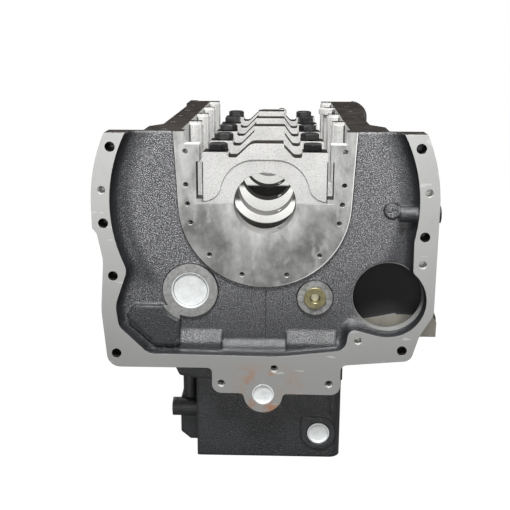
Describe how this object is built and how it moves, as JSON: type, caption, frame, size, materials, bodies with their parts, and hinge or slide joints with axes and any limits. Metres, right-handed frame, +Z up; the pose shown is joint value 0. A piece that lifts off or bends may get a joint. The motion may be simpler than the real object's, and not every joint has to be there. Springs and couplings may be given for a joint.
{
  "type": "engine block",
  "caption": "Cast iron inline engine block standing on its head deck, with main bearing caps and bolts, rear flywheel flange, starter opening and cup plugs.",
  "frame": {"origin": "on the crank line, at the rear face of the rear main bearing", "axes": "+Z up towards the sump (the block stands on its head deck), +Y towards the timing end, +X to the right seen from the flywheel end"},
  "size_m": [0.475, 0.54, 0.475],
  "materials": {
    "block_iron": "black paint over as-cast iron; machined faces bare grey",
    "cap_iron": "as-cast grey iron with machined joint and bore",
    "black_bolt": "black oxide",
    "bush_bronze": "bored bearing metal",
    "plug_zinc": "zinc plated pressed steel",
    "plug_olive": "olive yellow passivated steel",
    "plug_dark": "dark phosphated steel"
  },
  "bodies": {
    "root": {"cylinder_block": "block_iron", "main_cap_1": "cap_iron", "main_cap_2": "cap_iron", "main_cap_3": "cap_iron", "main_cap_4": "cap_iron", "main_cap_5": "cap_iron", "main_cap_bolts": "black_bolt", "cam_bush_1": "bush_bronze", "cam_bush_2": "bush_bronze", "cam_bush_3": "bush_bronze", "cam_bush_4": "bush_bronze", "cam_bush_5": "bush_bronze", "cam_bore_plug": "plug_zinc", "flange_cup_plug": "plug_zinc", "rear_cup_plug": "plug_zinc", "side_cup_plugs": "plug_zinc", "gallery_plug_rear": "plug_olive", "gallery_plug_front": "plug_olive", "port_plug": "plug_dark", "drain_plug": "plug_dark"}
  },
  "joints": []
}
